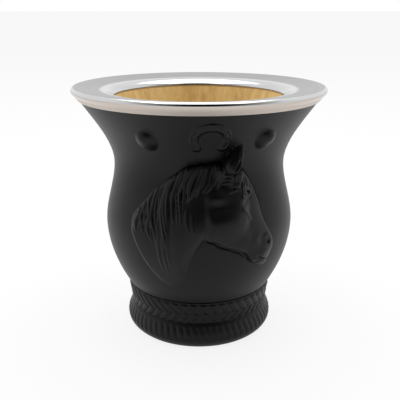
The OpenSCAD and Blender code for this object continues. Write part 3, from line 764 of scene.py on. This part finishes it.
# Base disc. A plain black plastic disc pressed into the hollow foot, with a softened edge and a moulding
# dimple. It is turned like the shell and hidden when the cup stands.
DISC_R, DISC_LOW_Z, DISC_HIGH_Z, DISC_EDGE, DISC_COLUMNS = 23.4, 1.2, 3.4, 0.3, 96
RECESS_R, RECESS_FLOOR_R, RECESS_DEPTH = 20.0, 19.6, 0.3
DIMPLE_R, DIMPLE_FLOOR_R, DIMPLE_DEPTH = 4.0, 3.2, 0.6
disc_section = (
    (0, DISC_HIGH_Z), (DISC_R - DISC_EDGE, DISC_HIGH_Z), (DISC_R, DISC_HIGH_Z - DISC_EDGE),
    (DISC_R, DISC_LOW_Z + DISC_EDGE), (DISC_R - DISC_EDGE, DISC_LOW_Z), (RECESS_R, DISC_LOW_Z),
    (RECESS_FLOOR_R, DISC_LOW_Z + RECESS_DEPTH), (DIMPLE_R, DISC_LOW_Z + RECESS_DEPTH),
    (DIMPLE_FLOOR_R, DISC_LOW_Z + DIMPLE_DEPTH), (0, DISC_LOW_Z + DIMPLE_DEPTH))
disc = turn_on_axis("disc", disc_section, DISC_COLUMNS)
bpy.ops.object.shade_smooth_by_angle(angle=math.radians(35))
DISC_DARK, DISC_LIGHT, DISC_SHEEN = (0.008, 0.008, 0.008), (0.013, 0.013, 0.013), (0.5, 0.62)
paint(disc, moulded_plastic("disc_black_plastic", DISC_DARK, DISC_LIGHT, DISC_SHEEN, grain_scale=2000))
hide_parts("base_disc")
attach(disc, "root")

# Wood liner. A cup turned from one ochre block and glued into the shell, with its fibres running up the wall.
# Its mouth shows under the collar, with long darker vessels and the faint rings of the turning tool.
WOOD_DARK, WOOD_OCHRE, WOOD_PALE = (0.60, 0.37, 0.125), (0.78, 0.55, 0.21), (0.86, 0.66, 0.30)
FIBRE_STRETCH, FIBRE_SCALE, PATCH_SCALE, PATCH_SHARE, RING_SHARE = (1, 1, 0.06), 520, 90, 0.4, 0.5
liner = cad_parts["wood_liner"]

# Turning marks: fine streaks that run round the cup's axis, with the distance from that axis. The turned wood
# and the spun metal share them.
marks, taken, given = new_group("turning_marks", ("Fineness", "Length"), ("Streaks", "Away"))
split = add_node(marks, "SeparateXYZ", {"Vector": taken["Vector"]}).outputs
off_axis = add_node(marks, "CombineXYZ", {"X": split["X"], "Y": split["Y"]}).outputs["Vector"]
away = add_node(marks, "VectorMath", {0: off_axis}, operation="LENGTH").outputs["Value"]
heading = add_node(marks, "VectorMath", {0: off_axis}, operation="NORMALIZE").outputs["Vector"]
around = add_node(marks, "VectorMath", {0: heading, "Scale": taken["Length"]}, operation="SCALE")
fine = maths(marks, "MULTIPLY", maths(marks, "ADD", away, split["Z"]), taken["Fineness"])
streaks = {"Vector": around.outputs["Vector"], "W": fine, "Scale": 1, "Detail": 4}
feed(marks, add_node(marks, "TexNoise", streaks, noise_dimensions="4D").outputs["Fac"], given["Streaks"])
feed(marks, away, given["Away"])


def turned(tree, fineness, length):
    """Places the turning marks in a material."""
    values = {"Vector": own_place(tree), "Fineness": fineness, "Length": length}
    return add_node(tree, "Group", values, node_tree=marks).outputs


wood, tree, shader = new_material("turned_ochre_wood")
shader.inputs["Roughness"].default_value = 0.5
stretched = add_node(tree, "Mapping", {"Vector": own_place(tree), "Scale": FIBRE_STRETCH}).outputs["Vector"]
fibre = noise(tree, stretched, FIBRE_SCALE, detail=5, roughness=0.6)
patch = noise(tree, stretched, PATCH_SCALE, detail=2)
figure = add_node(tree, "Mix", {"Factor": PATCH_SHARE, "A": fibre, "B": patch}).outputs["Result"]
tone = ramp(tree, figure, (0.32, WOOD_DARK), (0.5, WOOD_OCHRE), (0.68, WOOD_PALE))
feed(tree, tone, shader.inputs["Base Color"])
rings = turned(tree, fineness=2600, length=3)["Streaks"]
add_bump(tree, shader, maths(tree, "MULTIPLY_ADD", rings, RING_SHARE, fibre), strength=0.3, distance=0.1)
paint(liner, wood)

# Throat seal. A soft ring of tan rubber between the collar's lower edge and the liner, pressed flat between
# them. Its moulded skin is matt, with a fine grain.
RUBBER_DARK, RUBBER_LIGHT, RUBBER_SHEEN = (0.48, 0.34, 0.16), (0.56, 0.42, 0.22), (0.6, 0.8)
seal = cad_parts["throat_seal"]
rubber, tree, shader = new_material("soft_tan_rubber")
shader.inputs["Specular IOR Level"].default_value = 0.3
skin = grained(tree, scale=3000)
feed(tree, ramp(tree, skin["Drift"], (0.35, RUBBER_DARK), (0.65, RUBBER_LIGHT)), shader.inputs["Base Color"])
feed(tree, mapped(tree, skin["Specks"], 0, 1, *RUBBER_SHEEN), shader.inputs["Roughness"])
paint(seal, rubber)

# Rim collar. One sheet of aluminium spun into a polished mouth bend, a sloping satin lip, a rolled edge and a
# brushed skirt that is crimped over the shell's flare. Its section is turned with the sheet's real thickness.
SHEET, COLLAR_COLUMNS = 0.6, 192
BEND_R, BEND_AT = 3.7, (34.65, RIM_Z - 5.39)
BEAD_R, BEAD_AT = 1.0, (44.5, RIM_Z - 1.3)
LIP_ANGLE, SKIRT_ANGLE, MOUTH_TURN = 97.7, -42.0, 155.0


def arc(centre, size, start, end, count):
    """Points on an arc with their outward directions."""
    turns = [math.radians(start + (end - start) * i / count) for i in range(count + 1)]
    sides = [(math.cos(a), math.sin(a)) for a in turns]
    return [((centre[0] + size * n[0], centre[1] + size * n[1]), n) for n in sides]


sheet_line = arc(BEND_AT, BEND_R, MOUTH_TURN, LIP_ANGLE, count=14)
sheet_line += arc(BEAD_AT, BEAD_R, LIP_ANGLE, SKIRT_ANGLE, count=16)
skirt_side = (math.cos(math.radians(SKIRT_ANGLE)), math.sin(math.radians(SKIRT_ANGLE)))
sheet_line += [((FLARE_R, SKIRT_Z), skirt_side)]
outer_face = [(p[0] + n[0] * SHEET / 2, p[1] + n[1] * SHEET / 2) for p, n in sheet_line]
inner_face = [(p[0] - n[0] * SHEET / 2, p[1] - n[1] * SHEET / 2) for p, n in reversed(sheet_line)]
# The sheet's two cut ends are a little rounded
skirt_end = [(FLARE_R + skirt_side[0] * 0.1 - 0.1, SKIRT_Z + skirt_side[1] * 0.1 - 0.14)]
mouth_end = [(sheet_line[0][0][0] - 0.06, sheet_line[0][0][1] - 0.12)]
collar_section = outer_face + skirt_end + inner_face + mouth_end + outer_face[:1]
collar = turn_on_axis("collar", collar_section, COLLAR_COLUMNS)
bpy.ops.object.shade_smooth_by_angle(angle=math.radians(40))

# The finishes, each from the dark to the light of its streaks, and where they lie in millimetres
# The satin lip is painted darker than the polished bend and bead, a painted shade
SATIN_PAINTED_SHADE = ((0.3, (0.312, 0.312, 0.317)), (0.5, (0.36, 0.36, 0.366)), (0.7, (0.416, 0.416, 0.422)))
POLISHED = ((0.3, (0.57, 0.57, 0.575)), (0.7, (0.69, 0.69, 0.695)))
# The brushed skirt is painted beige, a painted reflection of a tabletop
BRUSHED_PAINTED_REFLECTION = ((0.3, (0.515, 0.452, 0.4)), (0.5, (0.575, 0.51, 0.458)), (0.7, (0.635, 0.572, 0.515)))
SATIN_ROUGH, POLISHED_ROUGH, STREAK_ROUGH = 0.34, 0.1, 0.1
BEAD_FROM, BEAD_FULL, BEND_FROM, BEND_FULL = 44.8 * MM, 45.1 * MM, 36.2 * MM, 35.0 * MM
SKIRT_INSIDE, SKIRT_FROM, SKIRT_FULL = 40 * MM, (RIM_Z - 1.15) * MM, (RIM_Z - 1.5) * MM
metal, tree, shader = new_material("spun_aluminium")
shader.inputs["Metallic"].default_value = 1
shader.inputs["Anisotropic"].default_value = 0.5
round_axis = add_node(tree, "Tangent", {}, direction_type="RADIAL", axis="Z").outputs["Tangent"]
feed(tree, round_axis, shader.inputs["Tangent"])
spun = turned(tree, fineness=9000, length=2.5)
level = add_node(tree, "SeparateXYZ", {"Vector": own_place(tree)}).outputs["Z"]
on_skirt = maths(tree, "MULTIPLY", mapped(tree, level, SKIRT_FROM, SKIRT_FULL),
                 maths(tree, "GREATER_THAN", spun["Away"], SKIRT_INSIDE))
on_bead = mapped(tree, spun["Away"], BEAD_FROM, BEAD_FULL)
on_bend = mapped(tree, spun["Away"], BEND_FROM, BEND_FULL)
shiny = maths(tree, "MAXIMUM", on_bead, on_bend)
# Painted light: the satin lip's painted shade, and the skirt's beige painted reflection
upper = mixed(tree, shiny, ramp(tree, spun["Streaks"], *SATIN_PAINTED_SHADE), ramp(tree, spun["Streaks"], *POLISHED))
colour_with_painted_light = mixed(tree, on_skirt, upper, ramp(tree, spun["Streaks"], *BRUSHED_PAINTED_REFLECTION))
feed(tree, colour_with_painted_light, shader.inputs["Base Color"])
roughness = mapped(tree, shiny, 0, 1, SATIN_ROUGH, POLISHED_ROUGH)
uneven = maths(tree, "MULTIPLY_ADD", spun["Streaks"], STREAK_ROUGH, roughness)
feed(tree, uneven, shader.inputs["Roughness"])
add_bump(tree, shader, spun["Streaks"], strength=0.06, distance=0.02)
paint(collar, metal)
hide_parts("rim_collar")
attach(collar, "root")

# Floor. A wide sheet of white paper that keeps the cup's soft shadow. The camera and the metal see part of it
# as plain white, so that it runs into the white background.
FLOOR_SIZE, FLOOR_TONE = 40, (0.94, 0.94, 0.94, 1)
WHITE_TO_CAMERA, WHITE_TO_MIRROR = 0.85, 0.4
bpy.ops.object.select_all(action="DESELECT")
bpy.ops.mesh.primitive_plane_add(size=FLOOR_SIZE)
floor = bpy.context.object
floor.name = "floor"
paper, tree, shader = new_material("white_paper")
shader.inputs["Base Color"].default_value = FLOOR_TONE
shader.inputs["Roughness"].default_value = 0.9
shader.inputs["Specular IOR Level"].default_value = 0


def sight(tree):
    """Whether a ray comes from the camera, and whether it was mirrored or let through."""
    path = add_node(tree, "LightPath", {}).outputs
    return path["Is Camera Ray"], maths(tree, "MAXIMUM", path["Is Glossy Ray"], path["Is Transmission Ray"])


def mix_shaders(tree, share, a, b, surface):
    """Turns shader a into shader b by a share, and puts the result out."""
    mix = add_node(tree, "MixShader", {"Fac": share, 1: a, 2: b})
    feed(tree, mix.outputs["Shader"], surface.inputs["Surface"])


direct, mirrored = sight(tree)
whitened = maths(tree, "MULTIPLY_ADD", direct, WHITE_TO_CAMERA,
                 maths(tree, "MULTIPLY", mirrored, WHITE_TO_MIRROR))
glow = add_node(tree, "Emission", {}).outputs["Emission"]
mix_shaders(tree, whitened, shader.outputs["BSDF"], glow, tree.nodes["Material Output"])
paint(floor, paper)

# Light. A pale room that is dark on the camera's side, and one large soft lamp above the cup. The camera sees
# the room as plain white, and so does the metal where it mirrors what lies behind the cup.
CAMERA_SIDE = (0, -0.857, 0.515)
ROOM_PALE, ROOM_DARK, PALE_UNTIL, DARK_FROM = 0.85, 0.01, 0.4, 0.93
WHITE_FROM, WHITE_FULL = 0.5, 0.1
LAMP_SIZE, LAMP_POWER, LAMP_AT = 0.8, 4.2, (0, 0.05, 0.75)
world = bpy.data.worlds.new("pale_room")
bpy.context.scene.world = world
world.use_nodes = True
tree = world.node_tree
room = tree.nodes["Background"]
room.inputs["Color"].default_value = (1, 1, 1, 1)
direction = add_node(tree, "TexCoord", {}).outputs["Generated"]
sides = {0: direction, 1: CAMERA_SIDE}
facing = add_node(tree, "VectorMath", sides, operation="DOT_PRODUCT").outputs["Value"]
feed(tree, mapped(tree, facing, PALE_UNTIL, DARK_FROM, ROOM_PALE, ROOM_DARK), room.inputs["Strength"])
white = add_node(tree, "Background", {"Color": (1, 1, 1, 1)}).outputs["Background"]
direct, mirrored = sight(tree)
behind = mapped(tree, facing, WHITE_FROM, WHITE_FULL)
whitened = maths(tree, "MAXIMUM", direct, maths(tree, "MULTIPLY", mirrored, behind))
mix_shaders(tree, whitened, room.outputs["Background"], white, tree.nodes["World Output"])

lamp_data = bpy.data.lights.new("soft_lamp", "AREA")
lamp_data.shape = "SQUARE"
lamp_data.size = LAMP_SIZE
lamp_data.energy = LAMP_POWER
lamp = bpy.data.objects.new("soft_lamp", lamp_data)
lamp.location = LAMP_AT
bpy.context.scene.collection.objects.link(lamp)

# Camera. At the photograph's angle: a little above the rim and a little left of the horse, with only the shift
# that the photograph's framing needs.
CAMERA_AZIMUTH, CAMERA_TILT = math.radians(-5.5), 0.2996
CAMERA_AWAY, CAMERA_Z, CAMERA_LENS, CAMERA_SHIFT = 0.2281, 0.11907, 56.12, 0.00275
camera_data = bpy.data.cameras.new("camera")
camera_data.lens = CAMERA_LENS
camera_data.shift_x = CAMERA_SHIFT
camera_data.clip_start = 0.01
camera = bpy.data.objects.new("camera", camera_data)
camera.location = (CAMERA_AWAY * math.sin(CAMERA_AZIMUTH), -CAMERA_AWAY * math.cos(CAMERA_AZIMUTH), CAMERA_Z)
camera.rotation_euler = (math.pi / 2 - CAMERA_TILT, 0, CAMERA_AZIMUTH)
bpy.context.scene.collection.objects.link(camera)
bpy.context.scene.camera = camera
bpy.context.scene.view_settings.view_transform = "Standard"
